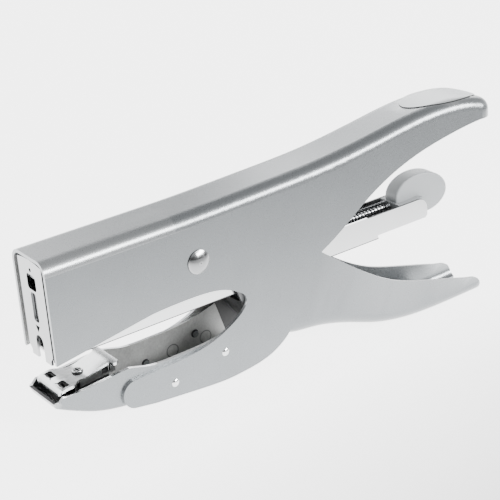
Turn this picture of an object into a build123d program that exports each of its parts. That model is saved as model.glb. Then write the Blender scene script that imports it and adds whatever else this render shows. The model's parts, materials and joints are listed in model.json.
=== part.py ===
from build123d import *
from math import cos, radians, sin
import os

# Plier stapler, in millimetres. +X runs from the head to the handles, +Y is the far side, +Z is up.
# The stapler stands on the bellies of its lower jaw and its lower handle, at Z = 0.
#
# Nearly every piece is drawn in the stapler's own side view: u runs back along the ridge, v stands
# square on it, and (0, 0) is the axis of the main rivet. That view leans back by RAKE.

# ---------------------------------------------------------------- driving dimensions
RAKE = 5.1                    # degrees from the table to the ridge line
PIVOT_X = -39.24              # main rivet, from the middle of the stapler's length
PIVOT_Z = 48.5                # main rivet, above the table
BODY_WIDTH = 22.0             # over the body shell
SHEET = 1.2                   # body, lever and anvil channel
THIN = 0.8                    # magazine sheet
LEVER_CLEARANCE = 0.3         # lever to shell, each side
HEAD_U = -58.2                # front edge of the head
HANDLE_END_U = 140.0          # end of the upper handle
RIDGE_V = 18.0                # top of the head
RIDGE_BEND = 4.8              # outside bend radius along the ridge
LEVER_BEND = 5.0              # outside bend radius under the lower handle
JAW_BEND = 2.0                # outside bend radius under the anvil channel
RIVET_R = 3.0                 # main rivet shank
RUNNING_FIT = 0.06            # radial clearance of a turning or sliding pin
STAPLE_FLOOR_V = -19.4        # underside of the magazine
ROD_V = -11.2                 # guide rod above the staples
ROD_R = 1.0
DRIVER_PIN = (-50.0, 6.0)     # cross pin of the lever, in the side view
DRIVER_PIN_R = 1.5

# ---------------------------------------------------------------- derived sizes
BODY_HALF = BODY_WIDTH / 2
BODY_INSIDE = BODY_HALF - SHEET
LEVER_HALF = BODY_INSIDE - LEVER_CLEARANCE
LEVER_INSIDE = LEVER_HALF - SHEET
MAG_HALF = 7.45               # magazine over its walls: a 12.9 mm staple, clearance and two walls
MAG_INSIDE = MAG_HALF - THIN
SLIDE_HALF = 6.35
SLIDE_INSIDE = SLIDE_HALF - THIN
NOSE_U = HEAD_U + 0.4         # front face of the nose plate
NOSE_BACK_U = NOSE_U + THIN
BLADE_U = NOSE_BACK_U + 0.3   # front face of the driver blade
RAIL_U = BLADE_U + THIN + 0.35
FAR = 80.0                    # beyond every piece

# ---------------------------------------------------------------- working planes
LEAN = radians(RAKE)
PIVOT = Vector(PIVOT_X, 0, PIVOT_Z)
U_DIR = Vector(cos(LEAN), 0, sin(LEAN))
V_DIR = Vector(-sin(LEAN), 0, cos(LEAN))
SIDE = Plane(origin=PIVOT, x_dir=U_DIR, z_dir=(0, -1, 0))    # drawn in (u, v), grows to the near side
DECK = Plane(origin=PIVOT, x_dir=U_DIR, z_dir=V_DIR)         # drawn in (u, y), grows upward
FRONT = Plane(origin=PIVOT, x_dir=(0, 1, 0), z_dir=U_DIR)    # drawn in (y, v), grows rearward
PIVOT_AXIS = Axis(PIVOT, (0, 1, 0))

os.makedirs("parts", exist_ok=True)


def floor_v(u):
    """Height v of the table under the point u of the side view."""
    return -(PIVOT_Z + u * sin(LEAN)) / cos(LEAN)


def side_point(u, v, y=0.0):
    """Point of the model at (u, v) of the side view, y across."""
    return PIVOT + U_DIR * u + V_DIR * v + Vector(0, y, 0)


def save(name, builder):
    """Label a finished piece and write it as its own STEP file."""
    builder.part.label = name
    export_step(builder.part, f"parts/{name}.step")


def moved(edge, inset):
    """Edge of the side view moved square to itself, to its right for a positive inset."""
    points = []
    for step in range(25):
        here = edge @ (step / 24)
        way = edge % (step / 24)
        points.append((here.X + way.Y * inset, here.Y - way.X * inset))
    if edge.geom_type == GeomType.LINE:
        return Line(points[0], points[-1])
    if edge.geom_type == GeomType.CIRCLE:
        return ThreePointArc(points[0], points[12], points[-1])
    return Spline(*points, tangents=(edge % 0, edge % 1))


def pressed_block(back, far_v, half_width, bend, corner, inset):
    """Block as wide as a folded sheet, between the sheet's back and the height far_v.

    The back is a straight edge and the curved ones after it, from the head's end to the handle's end.
    Its long edges are rounded by the bend, and its far end by the corner. An inset gives the space
    inside the sheet.
    """
    inward = inset if far_v < (back[0] @ 0).Y else -inset
    back = [moved(edge, inward) for edge in back]
    start = back[0] @ 0
    end = back[-1] @ 1
    if corner:
        way = back[-1] % 1
        end_u = HANDLE_END_U - inset
        end = Vector(end_u, end.Y + (end_u - end.X) * way.Y / way.X)
    last = [back[-1] @ (step / 24) for step in range(24)] + [end]
    with BuildPart() as block:
        with BuildSketch(SIDE):
            with BuildLine():
                Line((start.X, far_v), start)
                Line(start, back[1] @ 0)
                for edge in back[1:-1]:
                    add(edge)
                Spline(*last, tangents=(back[-1] % 0, back[-1] % 1))
                Line(end, (end.X, far_v))
                Line((end.X, far_v), (start.X, far_v))
            make_face()
        extrude(amount=half_width - inset, both=True)
        if corner:
            upright = block.edges().filter_by(Axis(PIVOT, V_DIR))
            fillet(upright.sort_by(Axis(PIVOT, U_DIR))[-2:], corner - inset)
        back_edges = ShapeList()
        for edge in block.edges():
            place = SIDE.to_local_coords(edge.center())
            direction = edge.tangent_at(0.5)
            is_upright = abs(direction.dot(V_DIR)) > 0.99
            is_rim = abs(place.Y - far_v) < 1
            is_cross = abs(direction.Y) > 0.99 and (place.X < end.X - 1 or not corner)
            if not (is_upright or is_rim or is_cross):
                back_edges.append(edge)
        fillet(back_edges, bend - inset)
    return block.part


# ================================================================ body
# ---------------------------------------------------------------- outer shell
HANDLE_CURVE = [(32, 19.0), (60, 20.4), (74, 22.0), (88.6, 24.1), (103, 26.0), (117, 26.4)]
HANDLE_CURVE += [(129, 25.0), (HANDLE_END_U, 21.4)]
CAP_U = 120.0
CAP_LENGTH = 35.0
CAP_WIDTH = 17.2
CAP_GAP = 0.12
CAP_PROUD = 0.35


def ridge_block(inset):
    """Space under the body's ridge, drawn in by inset."""
    open_front_u = HEAD_U - 3 * max(inset, 0)
    head = Line((open_front_u, RIDGE_V), (-8, RIDGE_V))
    handle = Spline((-8, RIDGE_V), *HANDLE_CURVE, tangents=((1, 0), (0.93, -0.37)))
    return pressed_block([head, handle], -FAR, BODY_HALF, RIDGE_BEND, 7.0, inset)


CHEEK_CORNER = (HEAD_U - 3, -19.26)    # the cheek's lower edge, carried past the front


def shell_opening():
    """What the shell leaves open in the side view: under the handle, behind the jaw, the throat."""
    with BuildSketch(SIDE) as cut:
        with BuildLine():
            Line(CHEEK_CORNER, (CHEEK_CORNER[0], -2 * FAR))
            Line((CHEEK_CORNER[0], -2 * FAR), (HANDLE_END_U + 5, -2 * FAR))
            Line((HANDLE_END_U + 5, -2 * FAR), (HANDLE_END_U + 5, 15.4))
            Line((HANDLE_END_U + 5, 15.4), (132, 16.0))
            grip = [(132, 16.0), (116, 14.2), (101, 11.2), (86, 6.0), (75, 0.2), (63.5, -7.4)]
            Spline(*grip, (52.9, -13.5), tangents=((-1, -0.05), (-0.9, -0.43)))
            ThreePointArc((52.9, -13.5), (51.9, -18.8), (49.4, -23.8))
            Line((49.4, -23.8), (35.2, -41.2))
            belly = [(35.2, -41.2), (27, -46.2), (14, -48.6)]
            Spline(*belly, (-6, floor_v(-6)), tangents=((-0.75, -0.66), (-1, sin(LEAN))))
            Line((-6, floor_v(-6)), (-22, floor_v(-22)))
            Line((-22, floor_v(-22)), (-30.4, -45.4))
            ThreePointArc((-30.4, -45.4), (-35.0, -40.1), (-30.6, -34.9))
            Line((-30.6, -34.9), (-26, -34.7))
            Spline((-26, -34.7), (-12, -34.2), (2, -32.3), (12.4, -27.8), (17.2, -24.0),
                   tangents=((1, 0.04), (0.6, 0.8)))
            ThreePointArc((17.2, -24.0), (18.5, -20.6), (16.4, -17.6))
            Spline((16.4, -17.6), (12, -15.0), (-2, -12.5), (-18, -12.8), (-33.5, -15.0),
                   tangents=((-0.8, 0.6), (-1, -0.15)))
            Line((-33.5, -15.0), CHEEK_CORNER)
        make_face()
    return cut.sketch_local


def cap_prism(grow):
    """Upright oval prism of the handle's inlay."""
    with BuildPart() as prism:
        with BuildSketch(DECK):
            with Locations((CAP_U, 0)):
                Ellipse(CAP_LENGTH / 2 + grow, CAP_WIDTH / 2 + grow)
        extrude(amount=FAR)
    return prism.part


JAW_RIVETS = [(-14.0, -42.0), (7.8, -38.0)]
JAW_RIVET_R = 1.2

with BuildPart() as outer_shell:
    add(ridge_block(0))
    add(ridge_block(SHEET), mode=Mode.SUBTRACT)
    with BuildSketch(SIDE):
        add(shell_opening())
    extrude(amount=BODY_WIDTH, both=True, mode=Mode.SUBTRACT)
    add(cap_prism(CAP_GAP), mode=Mode.SUBTRACT)
    with BuildSketch(SIDE):
        Circle(RIVET_R)
        with Locations(*JAW_RIVETS):
            Circle(JAW_RIVET_R)
    extrude(amount=FAR, both=True, mode=Mode.SUBTRACT)
save("outer_shell", outer_shell)

# ---------------------------------------------------------------- oval inlay of the upper handle
with BuildPart() as handle_cap:
    add(cap_prism(0))
    add(ridge_block(-CAP_PROUD), mode=Mode.INTERSECT)
    add(ridge_block(SHEET), mode=Mode.SUBTRACT)
save("handle_cap", handle_cap)

# ---------------------------------------------------------------- main rivet
RIVET_HEAD_R = 4.4
RIVET_RIM = 0.3               # straight edge of a head, below its dome
RIVET_DOME = 1.7              # height of a head

with BuildPart() as main_rivet:
    rim = BODY_HALF + RIVET_RIM
    crown = BODY_HALF + RIVET_DOME
    with BuildSketch(Plane(origin=PIVOT, x_dir=U_DIR, z_dir=V_DIR)):
        with BuildLine():
            Line((0, 0), (0, crown))
            TangentArc((0, crown), (RIVET_HEAD_R, rim), tangent=(1, 0))
            Polyline((RIVET_HEAD_R, rim), (RIVET_HEAD_R, BODY_HALF), (RIVET_R, BODY_HALF), (RIVET_R, 0),
                     (0, 0))
        make_face()
    revolve(axis=PIVOT_AXIS)
    mirror(about=Plane.XZ)
save("main_rivet", main_rivet)

# ---------------------------------------------------------------- return spring and its bush
BUSH_R = 4.0
BUSH_HALF = 6.2
COIL_OUT_R = 5.5
SPRING_WIRE = 1.3

with BuildPart() as spring_bush:
    with BuildSketch(SIDE):
        Circle(BUSH_R)
        Circle(RIVET_R, mode=Mode.SUBTRACT)
    extrude(amount=BUSH_HALF, both=True)
save("spring_bush", spring_bush)

with BuildPart() as return_spring:
    with BuildSketch(SIDE):
        Circle(COIL_OUT_R)
        Circle(BUSH_R + 0.1, mode=Mode.SUBTRACT)
    extrude(amount=BUSH_HALF - 0.3, both=True)
    for foot, side in (((29.0, 16.0), 1), ((-30.0, 11.5), -1)):
        start = (side * 1.5, 4.6)
        with BuildLine() as leg:
            Line(side_point(*start, side * 4.5), side_point(foot[0], foot[1], side * 4.5))
        with BuildSketch(Plane(origin=leg.line @ 0, z_dir=leg.line % 0)):
            Circle(SPRING_WIRE / 2)
        sweep(path=leg.line)
save("return_spring", return_spring)

# ---------------------------------------------------------------- anvil channel
JAW_CURVE = [(-53, -38.7), (-44, -42.4), (-34, -44.5), (-18, -46.0), (0, -47.0), (12, -47.3), (24, -46.4)]
JAW_BACK = [(17.5, -29.0), (22.5, -46.0)]


def jaw_block(inset):
    """Space above the belly of the anvil channel, drawn in by inset."""
    lip = Line((-60.4, -33.0), (-59.4, -35.4))
    belly = Spline((-59.4, -35.4), *JAW_CURVE, tangents=((0.85, -0.5), (1, 0.12)))
    return pressed_block([lip, belly], FAR, BODY_INSIDE, JAW_BEND, 0, inset)


with BuildPart() as anvil_channel:
    add(jaw_block(0))
    add(jaw_block(SHEET), mode=Mode.SUBTRACT)
    with BuildSketch(SIDE):
        with BuildLine():
            Line((-62, -33.4), (-58.6, -33.2))
            Line((-58.6, -33.2), (-57.0, -31.6))
            Spline((-57.0, -31.6), (-44, -31.2), (-31, -30.2), tangents=((1, -0.05), (1, 0.05)))
            Spline((-31, -30.2), (-23.3, -32.2), (-12, -32.8), JAW_BACK[0], tangents=((1, -0.2), (1, 0.3)))
            Line(*JAW_BACK)
            Line(JAW_BACK[1], (JAW_BACK[1][0], -FAR))
            Line((JAW_BACK[1][0], -FAR), (-62, -FAR))
            Line((-62, -FAR), (-62, -33.4))
        make_face()
    extrude(amount=FAR, both=True, mode=Mode.INTERSECT)
    with BuildSketch(SIDE):
        with Locations(*JAW_RIVETS):
            Circle(JAW_RIVET_R)
    extrude(amount=FAR, both=True, mode=Mode.SUBTRACT)
save("anvil_channel", anvil_channel)

# ---------------------------------------------------------------- jaw rivets
JAW_HEAD_R = 1.6
JAW_DIMPLE_R = 1.5
JAW_DIMPLE = 0.5

with BuildPart() as jaw_rivets:
    for side in (-1, 1):
        for u, v in JAW_RIVETS:
            inner = BODY_INSIDE - SHEET
            with BuildSketch(Plane(origin=side_point(u, v), x_dir=U_DIR, z_dir=V_DIR)):
                with BuildLine():
                    Line((0, side * (inner - 0.6)), (0, side * (BODY_HALF + JAW_DIMPLE)))
                    ThreePointArc((0, side * (BODY_HALF + JAW_DIMPLE)),
                                  (JAW_DIMPLE_R * 0.7, side * (BODY_HALF + JAW_DIMPLE * 0.6)),
                                  (JAW_DIMPLE_R, side * BODY_HALF))
                    Polyline((JAW_DIMPLE_R, side * BODY_HALF), (JAW_RIVET_R, side * BODY_HALF),
                             (JAW_RIVET_R, side * inner), (JAW_HEAD_R, side * inner),
                             (JAW_HEAD_R - 0.4, side * (inner - 0.6)), (0, side * (inner - 0.6)))
                make_face()
            revolve(axis=Axis(side_point(u, v), (0, 1, 0)))
save("jaw_rivets", jaw_rivets)

# ---------------------------------------------------------------- anvil plate, its support and screw
PLATE = 1.0
PLATE_TOP = [(-57.4, -31.05), (-55.4, -29.95), (-53.0, -29.6), (-48.0, -29.65), (-44.5, -29.6)]
PLATE_TOP += [(-41.3, -28.8), (-38.0, -27.85), (-33.0, -27.55)]
PLATE_HALF = 7.9              # at the pockets
DECK_HALF = 5.3               # of the raised deck behind them
FLANGE_FOOT = [(-48.0, -32.9), (-36.0, -31.6), (-33.9, -31.6)]   # lower edge of the deck's side flanges
WINDOW = (-37.5, -29.8)       # window of each flange
TAB_U = (-35.6, -33.6)        # little tabs bent out behind the windows
TAB_HALF = 7.5
SCREW_U = -45.7
SCREW_V = -29.62              # underside of the screw's head
SCREW_HEAD_R = 1.9
SCREW_R = 1.25
POCKET_U = -53.7
POCKET_Y = 4.4
POCKET_FLOOR_V = -30.05


def plate_band(drop):
    """Band of the given depth under the anvil plate's top, in the side view."""
    with BuildSketch(SIDE) as band:
        with BuildLine():
            Spline(*PLATE_TOP)
            Line(PLATE_TOP[-1], (PLATE_TOP[-1][0], PLATE_TOP[-1][1] - drop))
            Spline(*[(u, v - drop) for u, v in reversed(PLATE_TOP)])
            Line((PLATE_TOP[0][0], PLATE_TOP[0][1] - drop), PLATE_TOP[0])
        make_face()
    return band.sketch_local


with BuildPart() as anvil_plate:
    with BuildSketch(SIDE):
        add(plate_band(PLATE))
    extrude(amount=PLATE_HALF, both=True)
    # the deck's waist, the rounded front corners and the tabs, seen from above
    with BuildSketch(DECK.offset(-FAR / 2)):
        with BuildLine() as plan:
            Line((-60, 0), (-60, 6.4))
            Line((-60, 6.4), (-57.6, 6.4))
            ThreePointArc((-57.6, 6.4), (-57.1, 7.5), (-56.0, PLATE_HALF))
            Line((-56.0, PLATE_HALF), (-52.6, PLATE_HALF))
            Spline((-52.6, PLATE_HALF), (-49.8, 6.6), (-47.0, DECK_HALF), tangents=((1, 0), (1, 0)))
            Line((-47.0, DECK_HALF), (TAB_U[0] - 0.6, DECK_HALF))
            Line((TAB_U[0] - 0.6, DECK_HALF), (TAB_U[0], TAB_HALF - 0.7))
            ThreePointArc((TAB_U[0], TAB_HALF - 0.7), ((TAB_U[0] + TAB_U[1]) / 2, TAB_HALF),
                          (TAB_U[1], TAB_HALF - 0.7))
            Line((TAB_U[1], TAB_HALF - 0.7), (PLATE_TOP[-1][0] + 1, DECK_HALF))
            Line((PLATE_TOP[-1][0] + 1, DECK_HALF), (PLATE_TOP[-1][0] + 1, 0))
            Line((PLATE_TOP[-1][0] + 1, 0), (-60, 0))
        make_face()
        mirror(about=Plane.XZ)
    extrude(amount=FAR, mode=Mode.INTERSECT)
    for start in (DECK_HALF - PLATE, -DECK_HALF):
        with BuildSketch(SIDE.offset(start)):
            add(plate_band(8))
            Polygon(*FLANGE_FOOT, (FLANGE_FOOT[-1][0], -25), (FLANGE_FOOT[0][0], -25), align=None,
                    mode=Mode.INTERSECT)
            with Locations(WINDOW):
                Rectangle(3.3, 2.4, mode=Mode.SUBTRACT)
        extrude(amount=PLATE)
    # each pocket: a shallow dish with the staple leg's groove through it
    for floor, long, wide in ((POCKET_FLOOR_V, 2.6, 4.8), (POCKET_FLOOR_V - 3, 1.3, 3.6)):
        with BuildSketch(DECK.offset(floor)):
            for side in (-1, 1):
                with Locations((POCKET_U, side * POCKET_Y)):
                    RectangleRounded(long, wide, 0.6)
        extrude(amount=5, mode=Mode.SUBTRACT)
    # the screw's hole and the seat round its head
    for floor, radius in ((SCREW_V - 3, SCREW_R + 0.1), (SCREW_V, SCREW_HEAD_R + 0.3)):
        with BuildSketch(DECK.offset(floor)):
            with Locations((SCREW_U, 0)):
                Circle(radius)
        extrude(amount=5, mode=Mode.SUBTRACT)
save("anvil_plate", anvil_plate)

SUPPORT_HALF = 4.2
SUPPORT_SHEET = 1.0
SUPPORT_TOP = [(-49.0, -30.85), (-43.6, -30.85), (-37.0, -29.2), (-36.0, -29.2)]

with BuildPart() as anvil_support:
    with BuildSketch(SIDE):
        Polygon(*SUPPORT_TOP, (-36.0, -42.9), (-49.0, -39.1), align=None)
    extrude(amount=SUPPORT_HALF, both=True)
    with BuildSketch(SIDE):
        lowered = [(u, v - SUPPORT_SHEET) for u, v in SUPPORT_TOP]
        Polygon((-50.0, lowered[0][1]), *lowered[1:3], (-35.0, lowered[3][1]), (-35.0, -50),
                (-50.0, -50), align=None)
    extrude(amount=SUPPORT_HALF - SUPPORT_SHEET, both=True, mode=Mode.SUBTRACT)
    with BuildSketch(DECK.offset(SCREW_V - 6)):
        with Locations((SCREW_U, 0)):
            Circle(SCREW_R)
    extrude(amount=8, mode=Mode.SUBTRACT)
save("anvil_support", anvil_support)

with BuildPart() as anvil_screw:
    with BuildSketch(DECK.offset(SCREW_V - 5)):
        with Locations((SCREW_U, 0)):
            Circle(SCREW_R)
    extrude(amount=5)
    with BuildSketch(DECK.offset(SCREW_V)):
        with Locations((SCREW_U, 0)):
            Circle(SCREW_HEAD_R)
    extrude(amount=0.75)
    crown = anvil_screw.edges().filter_by(GeomType.CIRCLE).sort_by(Axis(PIVOT, V_DIR))[-1]
    fillet(crown, 0.35)
    with BuildSketch(DECK.offset(SCREW_V + 0.2)):
        with Locations((SCREW_U, 0)):
            Rectangle(2.6, 0.55)
            Rectangle(0.55, 2.6)
    extrude(amount=1, mode=Mode.SUBTRACT)
save("anvil_screw", anvil_screw)

# ================================================================ lever
# ---------------------------------------------------------------- lower handle
LEVER_CURVE = [(50, -45.3), (58, -46.9), (68, -50.0), (80, -54.2)]
LEVER_LAND = (92.0, 103.0)    # two points beside the lowest one, which rests on the table
LAND_LIFT = 0.156
LEVER_TIP = (133.5, -57.0)
ARM_TOP_V = 13.4
BRIDGE_U = (-47.0, -27.0)
STOP_TAB_V = 16.5
WEB_TOP_V = -23.2             # the web between the walls ends below the swinging magazine


def lever_block(inset):
    """Space above the belly of the lower handle, drawn in by inset."""
    web = Line((8.0, 3.0), (18.6, -24.5))
    bow = TangentArc((18.6, -24.5), (38.5, -43.5), tangent=web % 1)
    land = [(u, floor_v(u) + LAND_LIFT) for u in LEVER_LAND]
    rear = [(117, -57.9), (LEVER_TIP[0], -57.6)]
    belly = Spline(bow @ 1, *LEVER_CURVE, *land, *rear, tangents=(bow % 1, (1, 0.02)))
    return pressed_block([web, bow, belly], FAR, LEVER_HALF, LEVER_BEND, 0, inset)


with BuildPart() as lower_handle:
    add(lever_block(0))
    add(lever_block(SHEET), mode=Mode.SUBTRACT)
    with BuildSketch(SIDE):
        with BuildLine():
            Line((22, 3.92), (52.9, -13.9))
            Spline((52.9, -13.9), (65, -23.0), (78, -32.2), (90, -38.6), (104, -43.2), (124, -49.0),
                   tangents=((0.8, -0.6), (0.95, -0.3)))
            Spline((124, -49.0), (131.2, -51.8), (132.2, -55.6), (128.6, -58.6),
                   tangents=((0.95, -0.3), (-1, -0.1)))
            Polyline((128.6, -58.6), (128.6, -FAR), (17.5, -FAR), (17.5, WEB_TOP_V), (22, WEB_TOP_V),
                     (22, 3.92))
        make_face()
    extrude(amount=FAR, both=True, mode=Mode.INTERSECT)
    # the two plates that run forward past the pivot and into the head
    for start in (LEVER_INSIDE, -LEVER_HALF):
        with BuildSketch(SIDE.offset(start)):
            with BuildLine():
                Polyline((-53.6, 3.4), (-53.6, ARM_TOP_V - 2), (-51.6, ARM_TOP_V), (-4, ARM_TOP_V))
                Spline((-4, ARM_TOP_V), (8, 11.2), (24, 2.77), tangents=((1, 0), (0.866, -0.5)))
                Polyline((24, 2.77), (24, -24), (19.5, -28.0), (14.5, -14.0), (10.5, -9.5))
                Spline((10.5, -9.5), (0, -8.6), (-12, -5.0), (-53.6, 3.4), tangents=((-0.8, 0.3), (-1, 0.16)))
            make_face()
        extrude(amount=SHEET)
    # the bridge that joins the arms over the magazine, and its stop against the ridge
    with BuildSketch(DECK.offset(ARM_TOP_V - SHEET)):
        with Locations(((BRIDGE_U[0] + BRIDGE_U[1]) / 2, 0)):
            Rectangle(BRIDGE_U[1] - BRIDGE_U[0], 2 * LEVER_HALF)
    extrude(amount=SHEET)
    with BuildSketch(FRONT.offset(BRIDGE_U[1] - SHEET)):
        with Locations((0, (ARM_TOP_V + STOP_TAB_V) / 2 - SHEET / 2)):
            Rectangle(8, STOP_TAB_V - ARM_TOP_V + SHEET)
    extrude(amount=SHEET)
    with BuildSketch(SIDE):
        Circle(RIVET_R + RUNNING_FIT)
        with Locations(DRIVER_PIN):
            Circle(DRIVER_PIN_R)
    extrude(amount=FAR, both=True, mode=Mode.SUBTRACT)
    # the open end of the channel
    with BuildSketch(DECK.offset(-FAR)):
        with Locations((LEVER_TIP[0] - 1, 0)):
            SlotOverall(30, 2 * (LEVER_INSIDE - 2.2))
    extrude(amount=FAR, mode=Mode.SUBTRACT)
save("lower_handle", lower_handle)

# ---------------------------------------------------------------- spacers beside the magazine's ears
with BuildPart() as lever_washers:
    with BuildSketch(SIDE.offset(MAG_HALF + 0.1)):
        Circle(5.4)
        Circle(RIVET_R + RUNNING_FIT, mode=Mode.SUBTRACT)
    extrude(amount=LEVER_INSIDE - MAG_HALF - 0.1)
    mirror(about=Plane.XZ)
save("lever_washers", lever_washers)

# ---------------------------------------------------------------- driver pin and its clips
PIN_HALF = LEVER_HALF
CLIP = 0.5
with BuildPart() as driver_pin:
    with BuildSketch(SIDE):
        with Locations(DRIVER_PIN):
            Circle(DRIVER_PIN_R)
    extrude(amount=PIN_HALF, both=True)
save("driver_pin", driver_pin)

with BuildPart() as driver_pin_clips:
    with BuildSketch(SIDE.offset(LEVER_INSIDE - CLIP)):
        with Locations(DRIVER_PIN):
            Circle(2.6)
            Circle(DRIVER_PIN_R, mode=Mode.SUBTRACT)
    extrude(amount=CLIP)
    mirror(about=Plane.XZ)
save("driver_pin_clips", driver_pin_clips)

# ================================================================ magazine
# ---------------------------------------------------------------- sheath
SHEATH_END_U = 82.6
SHEATH_TOP_V = -9.2
SHEATH_FOLD = 0.6             # outside radius of its folded lower edges
EAR_R = 6.0
GUIDE_TOP_V = 9.0
GUIDE_U = NOSE_BACK_U + 4.2

with BuildPart() as magazine_sheath:
    for start in (MAG_INSIDE, -MAG_HALF):
        with BuildSketch(SIDE.offset(start)):
            with BuildLine():
                Line((NOSE_BACK_U, STAPLE_FLOOR_V), (NOSE_BACK_U, GUIDE_TOP_V))
                Line((NOSE_BACK_U, GUIDE_TOP_V), (GUIDE_U, GUIDE_TOP_V))
                Line((GUIDE_U, GUIDE_TOP_V), (GUIDE_U, SHEATH_TOP_V + 4))
                CenterArc((GUIDE_U + 4, SHEATH_TOP_V + 4), 4, 180, 90)
                Line((GUIDE_U + 4, SHEATH_TOP_V), (-12, SHEATH_TOP_V))
                Line((-12, SHEATH_TOP_V), (-5.2, 3.0))
                ThreePointArc((-5.2, 3.0), (0, EAR_R), (5.2, 3.0))
                Line((5.2, 3.0), (12, SHEATH_TOP_V))
                Line((12, SHEATH_TOP_V), (77.6, SHEATH_TOP_V))
                ThreePointArc((77.6, SHEATH_TOP_V), (80.9, -13.8), (SHEATH_END_U, STAPLE_FLOOR_V))
                Line((SHEATH_END_U, STAPLE_FLOOR_V), (NOSE_BACK_U, STAPLE_FLOOR_V))
            make_face()
        extrude(amount=THIN)
    with BuildSketch(DECK.offset(STAPLE_FLOOR_V)):
        with Locations(((RAIL_U + SHEATH_END_U) / 2, 0)):
            Rectangle(SHEATH_END_U - RAIL_U, 2 * MAG_INSIDE)
    extrude(amount=THIN)
    folds = magazine_sheath.edges().filter_by(Axis(PIVOT, U_DIR)).group_by(Axis(PIVOT, V_DIR))[0]
    fillet(folds.group_by(Axis.Y)[0] + folds.group_by(Axis.Y)[-1], SHEATH_FOLD)
    with BuildSketch(SIDE):
        Circle(RIVET_R + RUNNING_FIT)
    extrude(amount=FAR, both=True, mode=Mode.SUBTRACT)
save("magazine_sheath", magazine_sheath)

# ---------------------------------------------------------------- nose plate
NOSE_HALF = 7.9               # the plate is as wide as the magazine and reaches up under the ridge
NOSE_TOP_V = 16.3
NOSE_CORNER_V = 15.4
NOSE_SHOULDER_V = -17.0
LEG_BOTTOM_V = -20.4
LEG_HALF = 6.4

with BuildPart() as nose_plate:
    with BuildSketch(FRONT.offset(NOSE_U)):
        with BuildLine():
            ThreePointArc((-NOSE_HALF, NOSE_CORNER_V), (0, NOSE_TOP_V), (NOSE_HALF, NOSE_CORNER_V))
            Polyline((NOSE_HALF, NOSE_CORNER_V), (NOSE_HALF, NOSE_SHOULDER_V), (LEG_HALF, NOSE_SHOULDER_V - 1.8),
                     (LEG_HALF, LEG_BOTTOM_V), (-LEG_HALF, LEG_BOTTOM_V), (-LEG_HALF, NOSE_SHOULDER_V - 1.8),
                     (-NOSE_HALF, NOSE_SHOULDER_V), (-NOSE_HALF, NOSE_CORNER_V))
        make_face()
        # peephole, upper window, long slot, notch and the arch between the legs
        with Locations((0, 12.6)):
            Circle(0.7, mode=Mode.SUBTRACT)
        with Locations((0, 8.1)):
            RectangleRounded(5.8, 5.6, 1.2, mode=Mode.SUBTRACT)
        with Locations((0, -1.0)):
            RectangleRounded(3.4, 10.8, 1.1, mode=Mode.SUBTRACT)
        with Locations((0, -8.6)):
            RegularPolygon(1.7, 3, rotation=-90, mode=Mode.SUBTRACT)
        with Locations((0, -20.0)):
            RectangleRounded(4.8, 17.2, 2.39, mode=Mode.SUBTRACT)
    extrude(amount=THIN)
save("nose_plate", nose_plate)

# ---------------------------------------------------------------- staple rail and its rivets
RAIL_HALF = 5.5
RAIL_TOP_V = -13.8
RAIL_END_U = 2.0
RAIL_RIVETS = [(-40.0, 0), (-8.0, 0)]

with BuildPart() as staple_rail:
    with BuildSketch(FRONT.offset(RAIL_U)):
        with Locations((0, (STAPLE_FLOOR_V + THIN + RAIL_TOP_V) / 2)):
            Rectangle(2 * RAIL_HALF, RAIL_TOP_V - STAPLE_FLOOR_V - THIN)
        with Locations((0, RAIL_TOP_V - THIN - 3)):
            Rectangle(2 * (RAIL_HALF - THIN), 6, mode=Mode.SUBTRACT)
        with Locations((0, STAPLE_FLOOR_V + THIN * 1.5)):
            Rectangle(2 * RAIL_HALF, THIN)
    extrude(amount=RAIL_END_U - RAIL_U)
    with BuildSketch(DECK.offset(STAPLE_FLOOR_V)):
        with Locations(*RAIL_RIVETS):
            Circle(1.2)
    extrude(amount=2 * THIN, mode=Mode.SUBTRACT)
save("staple_rail", staple_rail)

with BuildPart() as rail_rivets:
    with BuildSketch(DECK.offset(STAPLE_FLOOR_V + THIN)):
        with Locations(*RAIL_RIVETS):
            Circle(1.2)
    extrude(amount=THIN)
    with BuildSketch(DECK.offset(STAPLE_FLOOR_V + 2 * THIN)):
        with Locations(*RAIL_RIVETS):
            Circle(2.0)
    extrude(amount=0.6)
save("rail_rivets", rail_rivets)

# ---------------------------------------------------------------- saddle and magazine spring
SADDLE_U = (-41.0, -31.0)
SADDLE_TOP_V = -7.0
SADDLE_SHEET = 0.5
MAG_SPRING_R = 3.6
MAG_SPRING_WIRE = 0.9

with BuildPart() as spring_saddle:
    with BuildSketch(FRONT.offset(SADDLE_U[0])):
        with Locations((0, (SADDLE_TOP_V - 12) / 2)):
            Rectangle(2 * (MAG_HALF + SADDLE_SHEET), SADDLE_TOP_V + 12)
        with Locations((0, (SADDLE_TOP_V - SADDLE_SHEET - 13) / 2)):
            Rectangle(2 * MAG_HALF, SADDLE_TOP_V - SADDLE_SHEET + 13, mode=Mode.SUBTRACT)
    extrude(amount=SADDLE_U[1] - SADDLE_U[0])
save("spring_saddle", spring_saddle)

with BuildPart() as magazine_spring:
    with BuildSketch(DECK.offset(SADDLE_TOP_V + 0.05)):
        with Locations(((SADDLE_U[0] + SADDLE_U[1]) / 2, 0)):
            Circle(MAG_SPRING_R)
            Circle(MAG_SPRING_R - MAG_SPRING_WIRE, mode=Mode.SUBTRACT)
    extrude(amount=ARM_TOP_V - SHEET - SADDLE_TOP_V - 0.1)
save("magazine_spring", magazine_spring)

# ================================================================ driver
BLADE_HALF = 6.2
BLADE_BOTTOM_V = -12.9
BLADE_TOP_V = 10.4
BLADE_WINDOW_V = 6.4          # clears the view of the driver pin
EAR_BLADE_U = DRIVER_PIN[0] + 2.9

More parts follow.
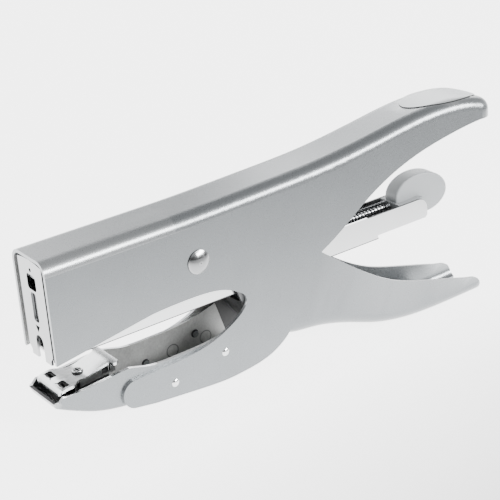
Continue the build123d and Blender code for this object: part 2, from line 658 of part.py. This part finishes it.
with BuildPart() as driver_blade:
    with BuildSketch(FRONT.offset(BLADE_U)):
        with Locations((0, (BLADE_BOTTOM_V + BLADE_TOP_V) / 2)):
            Rectangle(2 * BLADE_HALF, BLADE_TOP_V - BLADE_BOTTOM_V)
        with Locations((0, BLADE_WINDOW_V)):
            RectangleRounded(7.0, 5.2, 1.2, mode=Mode.SUBTRACT)
    extrude(amount=THIN)
    for start in (BLADE_HALF - THIN, -BLADE_HALF):
        with BuildSketch(SIDE.offset(start)):
            with BuildLine():
                Polyline((BLADE_U, 2.4), (BLADE_U, BLADE_TOP_V), (EAR_BLADE_U - 1.5, BLADE_TOP_V),
                         (EAR_BLADE_U, BLADE_TOP_V - 1.5), (EAR_BLADE_U, 3.9), (EAR_BLADE_U - 1.5, 2.4),
                         (BLADE_U, 2.4))
            make_face()
            with Locations(DRIVER_PIN):
                SlotOverall(2 * DRIVER_PIN_R + 1.6, 2 * (DRIVER_PIN_R + RUNNING_FIT), mode=Mode.SUBTRACT)
        extrude(amount=THIN)
save("driver_blade", driver_blade)

# ================================================================ loading slide
# ---------------------------------------------------------------- channel
SLIDE_FRONT_U = 5.0
SLIDE_END_U = 108.0
SLIDE_FLOOR_V = STAPLE_FLOOR_V + THIN + 0.3
SLIDE_TOP_V = -10.1
KNOB_U = 108.0
KNOB_V = -9.6

with BuildPart() as slide_channel:
    for start in (SLIDE_INSIDE, -SLIDE_HALF):
        with BuildSketch(SIDE.offset(start)):
            with BuildLine():
                Line((SLIDE_FRONT_U, SLIDE_FLOOR_V), (SLIDE_FRONT_U, SLIDE_TOP_V))
                Line((SLIDE_FRONT_U, SLIDE_TOP_V), (SLIDE_END_U - 4.5, SLIDE_TOP_V))
                ThreePointArc((SLIDE_END_U - 4.5, SLIDE_TOP_V), (SLIDE_END_U - 1.2, SLIDE_TOP_V - 1.4),
                              (SLIDE_END_U, SLIDE_TOP_V - 4.5))
                Line((SLIDE_END_U, SLIDE_TOP_V - 4.5), (SLIDE_END_U, SLIDE_FLOOR_V + 1))
                Line((SLIDE_END_U, SLIDE_FLOOR_V + 1), (SLIDE_END_U - 1, SLIDE_FLOOR_V))
                Line((SLIDE_END_U - 1, SLIDE_FLOOR_V), (SLIDE_FRONT_U, SLIDE_FLOOR_V))
            make_face()
        extrude(amount=THIN)
    with BuildSketch(DECK.offset(SLIDE_FLOOR_V)):
        with Locations(((SLIDE_FRONT_U + SLIDE_END_U - 1) / 2, 0)):
            Rectangle(SLIDE_END_U - 1 - SLIDE_FRONT_U, 2 * SLIDE_INSIDE)
    extrude(amount=THIN)
save("slide_channel", slide_channel)

# ---------------------------------------------------------------- knob
KNOB_LONG_R = 13.0
KNOB_SHORT_R = 8.3
KNOB_HALF = 3.3
KNOB_TILT = -8.0
KNOB_FOOT_U = 94.5

with BuildPart() as knob:
    with BuildSketch(SIDE):
        with Locations(Location((KNOB_U, KNOB_V, 0), (0, 0, KNOB_TILT))):
            Ellipse(KNOB_LONG_R, KNOB_SHORT_R)
    extrude(amount=KNOB_HALF, both=True)
    rims = knob.edges().filter_by(GeomType.ELLIPSE)
    fillet(rims, 0.8)
    # the foot that fills the slide's channel and holds the rod
    with BuildSketch(SIDE):
        Polygon((KNOB_FOOT_U, SLIDE_FLOOR_V + THIN), (KNOB_FOOT_U, SLIDE_TOP_V + 0.2),
                (106.5, SLIDE_TOP_V + 0.2), (106.5, SLIDE_FLOOR_V + THIN), align=None)
    extrude(amount=SLIDE_INSIDE - 0.05, both=True)
    with BuildSketch(SIDE):
        Polygon((KNOB_FOOT_U, -60), (KNOB_FOOT_U, SLIDE_FLOOR_V + THIN), (140, SLIDE_FLOOR_V + THIN), (140, -60),
                align=None)
    extrude(amount=FAR, both=True, mode=Mode.SUBTRACT)
    with BuildSketch(FRONT.offset(KNOB_FOOT_U - 4)):
        with Locations((0, ROD_V)):
            Circle(ROD_R)
    extrude(amount=7, mode=Mode.SUBTRACT)
save("knob", knob)

# ---------------------------------------------------------------- guide rod and pusher spring
PUSHER_U = (-51.5, -44.5)
ROD_FRONT_U = -46.5
PUSHER_SPRING_R = 2.3
PUSHER_WIRE = 0.6

with BuildPart() as guide_rod:
    with BuildSketch(FRONT.offset(ROD_FRONT_U)):
        with Locations((0, ROD_V)):
            Circle(ROD_R)
    extrude(amount=KNOB_FOOT_U + 3 - ROD_FRONT_U)
save("guide_rod", guide_rod)

with BuildPart() as pusher_spring:
    with BuildSketch(FRONT.offset(PUSHER_U[1] + 0.1)):
        with Locations((0, ROD_V)):
            Circle(PUSHER_SPRING_R)
            Circle(PUSHER_SPRING_R - PUSHER_WIRE, mode=Mode.SUBTRACT)
    extrude(amount=KNOB_FOOT_U - PUSHER_U[1] - 0.2)
save("pusher_spring", pusher_spring)

# ================================================================ pusher
with BuildPart() as pusher:
    with BuildSketch(FRONT.offset(PUSHER_U[0])):
        with Locations((0, (SLIDE_FLOOR_V + 0.3 - 9.4) / 2)):
            Rectangle(2 * (MAG_INSIDE - 0.45), -9.4 - SLIDE_FLOOR_V - 0.3)
        with Locations((0, RAIL_TOP_V + 0.3 - 4)):
            Rectangle(2 * (RAIL_HALF + 0.3), 8, mode=Mode.SUBTRACT)
        with Locations((0, ROD_V)):
            Circle(ROD_R + RUNNING_FIT, mode=Mode.SUBTRACT)
    extrude(amount=PUSHER_U[1] - PUSHER_U[0])
save("pusher", pusher)
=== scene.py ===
import bpy
import json
from math import cos, pi, radians, sin
from mathutils import Matrix, Vector


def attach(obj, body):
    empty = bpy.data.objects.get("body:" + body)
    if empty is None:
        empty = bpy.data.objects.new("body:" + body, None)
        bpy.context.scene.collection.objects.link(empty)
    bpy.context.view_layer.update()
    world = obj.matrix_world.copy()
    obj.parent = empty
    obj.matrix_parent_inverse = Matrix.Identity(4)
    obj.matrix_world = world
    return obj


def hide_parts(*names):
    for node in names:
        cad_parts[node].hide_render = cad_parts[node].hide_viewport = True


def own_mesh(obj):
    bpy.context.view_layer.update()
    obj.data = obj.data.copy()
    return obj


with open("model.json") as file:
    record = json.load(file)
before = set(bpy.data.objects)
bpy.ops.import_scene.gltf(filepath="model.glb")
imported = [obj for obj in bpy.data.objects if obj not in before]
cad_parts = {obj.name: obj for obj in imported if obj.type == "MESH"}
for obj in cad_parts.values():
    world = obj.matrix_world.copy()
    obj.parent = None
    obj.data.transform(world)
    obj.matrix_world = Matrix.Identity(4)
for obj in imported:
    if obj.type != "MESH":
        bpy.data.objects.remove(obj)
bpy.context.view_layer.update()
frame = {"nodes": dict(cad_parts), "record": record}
nodes = frame["nodes"]
joints = {joint["name"]: joint for joint in frame["record"]["behaviour"]["joints"]}

# ---------------------------------------------------------------- the stapler's own side view
MM = 0.001
LEAN = radians(5.1)                              # of the magazine, its rear end up
PIVOT = Vector(joints["lever_hinge"]["pos_m"])   # centre of the main rivet
U_DIR = Vector((cos(LEAN), 0, sin(LEAN)))        # along the magazine, towards the handles
V_DIR = Vector((-sin(LEAN), 0, cos(LEAN)))       # square to the magazine, upwards
Y_DIR = Vector((0, 1, 0))


def at(u, v, y=0.0):
    """Point of the frame from millimetres along the magazine, square to it and across."""
    return PIVOT + (U_DIR * u + V_DIR * v + Y_DIR * y) * MM


def side_view(point):
    """(u, v) of a point, in millimetres."""
    return (point - PIVOT).dot(U_DIR) / MM, (point - PIVOT).dot(V_DIR) / MM


# ---------------------------------------------------------------- materials
CLOUD_SCALE = 55.0            # patches of tone about 2 cm across
EDGE_BAND = (0.52, 0.60)      # pointiness at which a worn edge starts and is fully worn
WELD_R = 2.4 * MM
WELDS = [at(-2.3, -41.3, 8.6), at(12.2, -40.9, 8.6)]   # spot welds on the jaw's far inner wall
WELD_TONE = 0.25              # of the steel's own tone


def material(name):
    """New node material with its principled shader and a helper that adds and links nodes."""
    mat = bpy.data.materials.new(name)
    mat.use_nodes = True
    tree = mat.node_tree
    shader = tree.nodes["Principled BSDF"]

    def add(kind, **settings):
        node = tree.nodes.new(kind)
        for key, value in settings.items():
            if key in node.inputs:
                if isinstance(value, bpy.types.NodeSocket):
                    tree.links.new(value, node.inputs[key])
                else:
                    node.inputs[key].default_value = value
            else:
                setattr(node, key, value)
        return node

    return mat, tree, shader, add


def ramp(add, value, low, high, positions=(0.0, 1.0)):
    """Colour ramp between two grey levels or colours."""
    node = add("ShaderNodeValToRGB", Fac=value)
    for element, place, shade in zip(node.color_ramp.elements, positions, (low, high)):
        element.position = place
        element.color = (*shade, 1) if hasattr(shade, "__len__") else (shade, shade, shade, 1)
    return node.outputs["Color"]


def mixed(tree, add, factor, below, above):
    """Colour between the one below and the plain one above, by a factor."""
    node = add("ShaderNodeMix", data_type="RGBA", blend_type="MIX")
    tree.links.new(factor, node.inputs[0])
    tree.links.new(below, node.inputs[6])
    node.inputs[7].default_value = (*above, 1)
    return node.outputs[2]


def ring_mark(tree, add, place, centre):
    """1 on a thin ring of a spot weld's size about a centre, 0 elsewhere."""
    apart = add("ShaderNodeVectorMath", operation="DISTANCE")
    tree.links.new(place, apart.inputs[0])
    apart.inputs[1].default_value = centre
    span = add("ShaderNodeMapRange", Value=apart.outputs["Value"])
    span.inputs["From Max"].default_value = 2 * WELD_R
    line = ramp(add, span.outputs["Result"], 0.0, 0.0, (0.42, 0.58))
    line.node.color_ramp.elements.new(0.5).color = (1, 1, 1, 1)
    return line


def finish(name, tone, metallic, rough, grain, stretch=(1, 1, 1), edge=0.0, mottle=0.03, coat=0.0,
           specular=0.5, welds=(), flat=False):
    """Procedural finish: mottled tone, worn edges, uneven roughness and a grain that can be drawn out.

    rough is the roughness and how far it wanders. grain is the grain's scale and its depth in metres.
    A flat finish is for flat faces: it shades them by their true normal.
    """
    mat, tree, shader, add = material(name)
    place = add("ShaderNodeTexCoord").outputs["Object"]
    laid = add("ShaderNodeMapping", Vector=place, Scale=stretch).outputs["Vector"]
    cloud = add("ShaderNodeTexNoise", Vector=place, Scale=CLOUD_SCALE, Detail=4.0, Roughness=0.55)
    fine = add("ShaderNodeTexNoise", Vector=laid, Scale=grain[0], Detail=3.0, Roughness=0.6).outputs["Fac"]
    dark = tuple(c * (1 - mottle) for c in tone)
    light = tuple(min(1.0, c * (1 + mottle)) for c in tone)
    base = add("ShaderNodeMix", data_type="RGBA", blend_type="MULTIPLY", Factor=1.0)
    tree.links.new(ramp(add, cloud.outputs["Fac"], dark, light, (0.3, 0.7)), base.inputs[6])
    tree.links.new(ramp(add, fine, 1 - mottle, 1.0, (0.35, 0.65)), base.inputs[7])
    colour = base.outputs[2]
    if edge:
        sharp = ramp(add, add("ShaderNodeNewGeometry").outputs["Pointiness"], 0.0, 1.0, EDGE_BAND)
        colour = mixed(tree, add, sharp, colour, [min(1.0, c + edge) for c in tone])
    for centre in welds:
        mark = ring_mark(tree, add, place, centre)
        colour = mixed(tree, add, mark, colour, [WELD_TONE * c for c in tone])
    tree.links.new(colour, shader.inputs["Base Color"])
    uneven = ramp(add, fine, rough[0] - rough[1], rough[0] + rough[1], (0.3, 0.7))
    tree.links.new(uneven, shader.inputs["Roughness"])
    bump = add("ShaderNodeBump", Height=fine, Strength=0.5, Distance=grain[1])
    if flat:
        tree.links.new(add("ShaderNodeNewGeometry").outputs["True Normal"], bump.inputs["Normal"])
    tree.links.new(bump.outputs["Normal"], shader.inputs["Normal"])
    shader.inputs["Metallic"].default_value = metallic
    shader.inputs["Coat Weight"].default_value = coat
    shader.inputs["Coat Roughness"].default_value = 0.25
    shader.inputs["Specular IOR Level"].default_value = specular
    return mat


# each finish: tone, metallic share, roughness and its spread, grain's scale and depth, and its extras
PAINT = (0.29, 0.03), (2600, 0.000012)
FINISHES = {
    "silver_paint": ((0.175, 0.185, 0.192), 0.8, *PAINT, {"edge": 0.14, "coat": 0.12}),
    "flat_paint": ((0.182, 0.193, 0.20), 0.8, *PAINT, {"coat": 0.12, "flat": True}),
    "nose_steel": ((0.27, 0.275, 0.28), 1.0, (0.20, 0.05), (900, 0.000004),
                   {"stretch": (1, 1, 0.12), "edge": 0.1}),
    "blade_steel": ((0.34, 0.345, 0.35), 0.9, (0.30, 0.08), (1800, 0.000006), {"mottle": 0.1}),
    "anvil_steel": ((0.52, 0.53, 0.535), 1.0, (0.22, 0.05), (900, 0.000004),
                    {"stretch": (0.12, 1, 1), "edge": 0.1}),
    "chrome": ((0.66, 0.67, 0.675), 1.0, (0.12, 0.04), (700, 0.000003),
               {"stretch": (0.1, 1, 1), "mottle": 0.02}),
    "spring_steel": ((0.10, 0.104, 0.11), 1.0, (0.30, 0.08), (1800, 0.000006), {"mottle": 0.1}),
    "bare_steel": ((0.42, 0.43, 0.435), 1.0, (0.32, 0.08), (1200, 0.000008),
                   {"stretch": (0.08, 1, 1), "edge": 0.1}),
    "grey_plastic": ((0.27, 0.282, 0.29), 0.0, (0.46, 0.05), (3200, 0.00002), {"specular": 0.4}),
    "pale_plastic": ((0.38, 0.395, 0.40), 0.5, (0.34, 0.04), (2800, 0.000012), {"mottle": 0.02}),
    # inner steel of the jaw and the shell: its low tone is painted shade for these insides; the spot weld
    # rings on it are the steel's own marks
    "steel_in_painted_shade": ((0.36, 0.365, 0.36), 0.55, (0.44, 0.10), (1300, 0.00003),
                  {"mottle": 0.2, "welds": WELDS}),
    # bare front of the lever inside the body, its dark tone partly painted shade
    "bare_web_in_painted_shade": ((0.13, 0.132, 0.135), 0.8, (0.36, 0.06), (1500, 0.00002), {"mottle": 0.15}),
    "shade": ((0.016, 0.017, 0.018), 0.3, (0.5, 0.06), (1500, 0.00001), {"mottle": 0.2}),
}
SKINS = {
    name: finish(name, tone, metallic, rough, grain, **extras)
    for name, (tone, metallic, rough, grain, extras) in FINISHES.items()
}
slots = {part["node"]: part["material_slot"] for part in frame["record"]["subparts"]}
for name, node in nodes.items():
    node.data.materials.clear()
    node.data.materials.append(SKINS[slots[name]])

# ---------------------------------------------------------------- faces that wear another skin
# Where one skin gives way to another, in millimetres: U and V in the side view, OFF from the middle.
SHELL_OFF = (9.85, 10.9)        # the shell's inner faces lie below the first, its outer faces past the second
JAW_OFF = (8.5, 9.2, 9.7)       # just short of the jaw walls' inner faces, their middle, their outer faces
THROAT_END_U = 16.0             # behind this the shell's inner faces lie in the dark
JAW_DARK_U = -45.0              # in front of this the jaw's inner faces lie in the dark of the anvil plate
JAW_LIP_U = -56.0
JAW_EDGE_U = -20.0              # in front of this the jaw's upper edge is bare
LEVER_PAINT_U = (24.0, 44.0)    # silver paint starts at the first outside the lever, at the second inside; in front of it, bare steel in painted shade
LEVER_INSIDE = 8.2
LEVER_SILL_V = -40.0
BLADE_FACE_U = -56.6
SHEATH_FOLD_V = -18.55
SLIDE_WALL_OFF = 5.5
RIVET_OFF = (8.6, 10.9)         # a jaw rivet's inner head and its outer dome
NOSE_SIDE_OFF = 6.2
FLAT = 0.9999                   # a face's normal is this near to straight across


def up(normal):
    """How far a face looks up, square to the magazine."""
    return normal.dot(V_DIR)


def repaint(node, skin, chosen):
    """Give the faces of a CAD node that a test chooses another skin.

    The test gets a face's u and v, its distance off the middle plane, and its normal.
    """
    mesh = nodes[node].data
    mesh.materials.append(SKINS[skin])
    last = len(mesh.materials) - 1
    for face in mesh.polygons:
        if chosen(*side_view(face.center), abs(face.center.y) / MM, face.normal):
            face.material_index = last


def everywhere(u, v, off, normal):
    """True on every face."""
    return True


def jaw_paint(u, v, off, normal):
    """True on the painted outside of the anvil channel."""
    return off > JAW_OFF[1] or normal.z < -0.3


def jaw_edge(u, v, off, normal):
    """True on the upper edges of the anvil channel's walls, beside the anvil plate."""
    return u < JAW_EDGE_U and off > JAW_OFF[0] and up(normal) > 0.5


def plate_groove(u, v, off, normal):
    """True in the grooves of the anvil plate's pockets and inside its side windows."""
    sunk = v < -29.8 or abs(up(normal)) < 0.7
    groove = -55.2 < u < -52.2 and 1.8 < off < 7.1 and -31.2 < v and sunk
    window = -39.4 < u < -35.8 and -31.3 < v < -28.7 and abs(normal.y) < 0.5
    return groove or window


def screw_cross(u, v, off, normal):
    """True in the cross of the anvil screw and on the upright rim of its head."""
    cross = abs(u + 45.7) < 1.35 and off < 1.35 and v < -28.95
    rim = v > -29.64 and abs(up(normal)) < 0.3
    return cross or rim


def lever_web(u, v, off, normal):
    """True on the unpainted front part of the lower handle, inside the body, which is darkened with painted
    shade.
    """
    inside = off < LEVER_INSIDE and v > LEVER_SILL_V
    return u < LEVER_PAINT_U[0] or (u < LEVER_PAINT_U[1] and inside)


def shell_inside(u, v, off, normal):
    """True on the shell's inner faces."""
    return off < SHELL_OFF[0] and abs(normal.y) > 0.9


def shell_rear_inside(u, v, off, normal):
    """True on the part of the shell's inner faces that lies behind the throat."""
    return u > THROAT_END_U and shell_inside(u, v, off, normal)


def nose_back(u, v, off, normal):
    """True on the back of the nose plate and on its long side edges."""
    return normal.x > 0.5 or (abs(normal.y) > 0.5 and off > NOSE_SIDE_OFF)


# the jaw's inside takes steel darkened with painted shade, and deeper painted shade at its front
repaint("anvil_channel", "steel_in_painted_shade", everywhere)
repaint("anvil_channel", "shade", lambda u, v, off, normal: u < JAW_DARK_U)
repaint("anvil_channel", "silver_paint", jaw_paint)
repaint("anvil_channel", "flat_paint", lambda u, v, off, normal: off > JAW_OFF[2] and abs(normal.y) > FLAT)
repaint("anvil_channel", "anvil_steel", lambda u, v, off, normal: u < JAW_LIP_U and 0.3 < normal.x < 0.6)
repaint("anvil_channel", "anvil_steel", jaw_edge)
repaint("anvil_plate", "shade", plate_groove)
repaint("anvil_screw", "shade", screw_cross)
repaint("anvil_support", "shade", lambda u, v, off, normal: abs(normal.y) > 0.5)
repaint("jaw_rivets", "chrome", lambda u, v, off, normal: off > RIVET_OFF[1])
repaint("jaw_rivets", "shade", lambda u, v, off, normal: off < RIVET_OFF[0] and abs(normal.y) < 0.9)
# the shell's inner faces take steel darkened with painted shade, and deeper painted shade behind the throat
repaint("outer_shell", "steel_in_painted_shade", shell_inside)
repaint("outer_shell", "shade", shell_rear_inside)
repaint("outer_shell", "flat_paint", lambda u, v, off, normal: off > SHELL_OFF[1] and abs(normal.y) > FLAT)
repaint("handle_cap", "shade", lambda u, v, off, normal: abs(up(normal)) < 0.5)
repaint("main_rivet", "nose_steel", everywhere)
repaint("main_rivet", "shade", lambda u, v, off, normal: abs(normal.y) < 0.3)
# the lever's front inside the body: bare steel, darkened with painted shade
repaint("lower_handle", "bare_web_in_painted_shade", lever_web)
repaint("driver_blade", "blade_steel", lambda u, v, off, normal: u < BLADE_FACE_U)
repaint("magazine_sheath", "shade", lambda u, v, off, normal: v < SHEATH_FOLD_V and up(normal) < -0.04)
repaint("slide_channel", "shade", lambda u, v, off, normal: up(normal) > 0.5 and off > SLIDE_WALL_OFF)
repaint("nose_plate", "nose_steel", everywhere)
repaint("nose_plate", "shade", nose_back)


# ---------------------------------------------------------------- wire springs
def wire(name, path, radius, body, skin, sides=10):
    """Round wire of the given radius swept along a list of points, closed at both ends."""
    mesh = bpy.data.meshes.new(name)
    verts = []
    faces = []
    side = None
    for index, point in enumerate(path):
        ahead = path[min(index + 1, len(path) - 1)] - path[max(index - 1, 0)]
        ahead.normalize()
        if side is None:
            side = ahead.orthogonal().normalized()
        side = (side - ahead * side.dot(ahead)).normalized()
        top = ahead.cross(side)
        for step in range(sides):
            angle = 2 * pi * step / sides
            verts.append(point + (side * cos(angle) + top * sin(angle)) * radius)
    for ring in range(len(path) - 1):
        for step in range(sides):
            a = ring * sides + step
            b = ring * sides + (step + 1) % sides
            faces.append((a, b, b + sides, a + sides))
    faces.append(tuple(reversed(range(sides))))
    faces.append(tuple(range(len(verts) - sides, len(verts))))
    mesh.from_pydata(verts, [], faces)
    for face in mesh.polygons:
        face.use_smooth = len(face.vertices) == 4
    piece = bpy.data.objects.new(name, mesh)
    bpy.context.scene.collection.objects.link(piece)
    piece.data.materials.append(SKINS[skin])
    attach(piece, body)
    return piece


def helix(start, way, radius, pitches, per_turn=16):
    """Points of a helix about the line from start along way; pitches gives each turn's rise, in metres."""
    side = way.orthogonal().normalized()
    top = way.cross(side)
    points = []
    rise = 0.0
    for pitch in pitches:
        for step in range(per_turn):
            angle = 2 * pi * step / per_turn
            round_axis = (side * cos(angle) + top * sin(angle)) * radius
            points.append(start + way * (rise + pitch * step / per_turn) + round_axis)
        rise += pitch
    return points


def pitches_of(closed, closed_turns, spaced, spaced_turns):
    """Rise of each turn of a compression spring, closed up at both ends."""
    ends = [closed] * closed_turns
    return ends + [spaced] * spaced_turns + ends


# the long spring lies on the rod, from the pusher to the knob's foot
ROD_V = -11.2
PUSHER_SPRING_U = (-44.2, 94.4)
PUSHER_COIL_R = 2.0 * MM
PUSHER_WIRE_R = 0.3 * MM
pusher_start = at(PUSHER_SPRING_U[0] + PUSHER_WIRE_R / MM, ROD_V)
pusher_pitches = pitches_of(closed=0.66 * MM, closed_turns=3, spaced=1.55 * MM, spaced_turns=86)
pusher_path = helix(pusher_start, U_DIR, PUSHER_COIL_R, pusher_pitches)
pusher_wire = wire("pusher_coil", pusher_path, PUSHER_WIRE_R, "slide", "spring_steel", sides=8)
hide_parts("pusher_spring")
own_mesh(pusher_wire)

# the magazine spring stands on its saddle
SADDLE_U = -36
SADDLE_V = -6.95
MAGAZINE_COIL_R = 3.15 * MM
MAGAZINE_WIRE_R = 0.45 * MM
magazine_start = at(SADDLE_U, SADDLE_V + MAGAZINE_WIRE_R / MM)
magazine_pitches = pitches_of(closed=0.95 * MM, closed_turns=2, spaced=2.55 * MM, spaced_turns=6)
magazine_path = helix(magazine_start, V_DIR, MAGAZINE_COIL_R, magazine_pitches, per_turn=24)
magazine_wire = wire("magazine_coil", magazine_path, MAGAZINE_WIRE_R, "magazine", "spring_steel")
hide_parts("magazine_spring")
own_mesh(magazine_wire)

# the return spring is wound on the bush of the rivet, with a leg to the ridge at each end
RETURN_COIL_R = 4.8 * MM
RETURN_WIRE_R = 0.62 * MM
RETURN_PITCHES = [1.38 * MM] * 7 + [0.6 * MM]   # seven even turns and a tighter last one
front_leg = [at(-30, 11.5, -4.8), at(-16, 8.2, -5.0), at(-4, 5.4, -5.1)]
rear_leg = [at(8, 7.0, 5.1), at(29, 15.6, 5.0)]
return_coil = helix(at(0, 0, -5.2), Y_DIR, RETURN_COIL_R, RETURN_PITCHES, per_turn=28)
return_wire = wire("return_coil", front_leg + return_coil + rear_leg, RETURN_WIRE_R, "body", "spring_steel")
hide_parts("return_spring")

# ---------------------------------------------------------------- floor
FLOOR_HALF = 9
FLOOR_GAP = 0.0003            # below the lowest point of the jaw
GLOW = 4.3
GLOW_WAY = (0.2, -0.98, 0)    # the floor's glow fades this way, towards the near side
GLOW_FADE = (0.03, 0.21)      # from here to here, in metres
GLOW_LEFT = 0.08

floor_mesh = bpy.data.meshes.new("floor")
corners = [(x * FLOOR_HALF, y * FLOOR_HALF, 0) for x, y in ((-1, -1), (1, -1), (1, 1), (-1, 1))]
floor_mesh.from_pydata(corners, [], [(0, 1, 2, 3)])
floor = bpy.data.objects.new("floor", floor_mesh)
bpy.context.scene.collection.objects.link(floor)
floor.location.z = -FLOOR_GAP
floor_mat, floor_tree, floor_shader, floor_add = material("studio_floor")
floor_shader.inputs["Base Color"].default_value = (0.22, 0.22, 0.22, 1)
floor_shader.inputs["Roughness"].default_value = 0.8
across = floor_add("ShaderNodeVectorMath", operation="DOT_PRODUCT")
floor_tree.links.new(floor_add("ShaderNodeTexCoord").outputs["Object"], across.inputs[0])
across.inputs[1].default_value = GLOW_WAY
fall = floor_add("ShaderNodeMapRange", Value=across.outputs["Value"])
fall.inputs["From Min"].default_value = GLOW_FADE[0]
fall.inputs["From Max"].default_value = GLOW_FADE[1]
glow_ramp = ramp(floor_add, fall.outputs["Result"], 1.0, GLOW_LEFT)
floor_tree.links.new(glow_ramp, floor_shader.inputs["Emission Color"])
floor_shader.inputs["Emission Strength"].default_value = GLOW
floor_mesh.materials.append(floor_mat)

# ---------------------------------------------------------------- studio and soft light
# glow by height above the horizon, towards the near side and towards the back
NEAR_SKY = ((0.001, 0.10), (0.20, 0.12), (0.42, 0.8), (0.90, 0.55))
BACK_SKY = ((0.001, 2.4), (0.14, 2.2), (0.40, 1.1), (0.58, 0.72), (0.74, 0.6), (0.90, 0.5))
SKY_BLEND = (-0.45, 0.25)     # one gives way to the other between these, across

world = bpy.data.worlds.new("studio")
bpy.context.scene.world = world
world.use_nodes = True
sky = world.node_tree
split = sky.nodes.new("ShaderNodeSeparateXYZ")
sky.links.new(sky.nodes.new("ShaderNodeTexCoord").outputs["Generated"], split.inputs[0])


def sky_ramp(stops):
    """Glow of the studio by height above the horizon."""
    shade = sky.nodes.new("ShaderNodeValToRGB")
    sky.links.new(split.outputs["Z"], shade.inputs["Fac"])
    for height, glow in stops:
        stop = shade.color_ramp.elements.new(height)
        stop.color = (glow, glow * 1.01, glow * 1.02, 1)
    shade.color_ramp.elements.remove(shade.color_ramp.elements[0])
    shade.color_ramp.elements.remove(shade.color_ramp.elements[-1])
    return shade.outputs["Color"]


depth = sky.nodes.new("ShaderNodeMapRange")
sky.links.new(split.outputs["Y"], depth.inputs["Value"])
depth.inputs["From Min"].default_value = SKY_BLEND[0]
depth.inputs["From Max"].default_value = SKY_BLEND[1]
both = sky.nodes.new("ShaderNodeMix")
both.data_type = "RGBA"
sky.links.new(depth.outputs["Result"], both.inputs[0])
sky.links.new(sky_ramp(NEAR_SKY), both.inputs[6])
sky.links.new(sky_ramp(BACK_SKY), both.inputs[7])
sky.links.new(both.outputs[2], sky.nodes["Background"].inputs["Color"])
sky.nodes["Background"].inputs["Strength"].default_value = 1.0


def softbox(name, place, target, size, power):
    """Rectangular area light of a width and height that faces a point."""
    light = bpy.data.lights.new(name, "AREA")
    light.shape = "RECTANGLE"
    light.size, light.size_y = size
    light.energy = power
    lamp = bpy.data.objects.new(name, light)
    bpy.context.scene.collection.objects.link(lamp)
    lamp.location = place
    lamp.rotation_euler = (Vector(target) - Vector(place)).to_track_quat("-Z", "Y").to_euler()


softbox("key", (-0.75, -0.45, 1.0), (0, 0, 0.04), (0.8, 0.6), 7)
softbox("band", (0.71, -0.95, 0.62), (0, 0, 0.06), (1.1, 0.34), 50)
softbox("back", (-0.25, 1.05, 0.95), (0, 0, 0.04), (1.2, 0.7), 13)
softbox("ridge", (0.52, 0.50, 0.46), (0.06, 0, 0.08), (0.42, 0.36), 2.2)
softbox("rear", (0.85, 1.18, 0.50), (0, 0, 0.05), (1.5, 0.5), 3)

# ---------------------------------------------------------------- camera
CAMERA_FROM_PIVOT = Vector((-0.2760, -0.4221, 0.2000))
CAMERA_LOOKS = Vector((0.5454, 0.7532, -0.3677))
LENS = 112.49                 # on a sensor 36 mm wide

camera = bpy.data.objects.new("camera", bpy.data.cameras.new("camera"))
bpy.context.scene.collection.objects.link(camera)
camera.data.lens = LENS
camera.data.sensor_width = 36
camera.data.clip_end = 30
forward = CAMERA_LOOKS.normalized()
right = forward.cross(Vector((0, 0, 1))).normalized()
above = right.cross(forward)
turn = Matrix((right, above, -forward)).transposed().to_quaternion()
camera.matrix_world = Matrix.LocRotScale(PIVOT + CAMERA_FROM_PIVOT, turn, Vector((1, 1, 1)))
bpy.context.scene.camera = camera

bpy.context.view_layer.update()
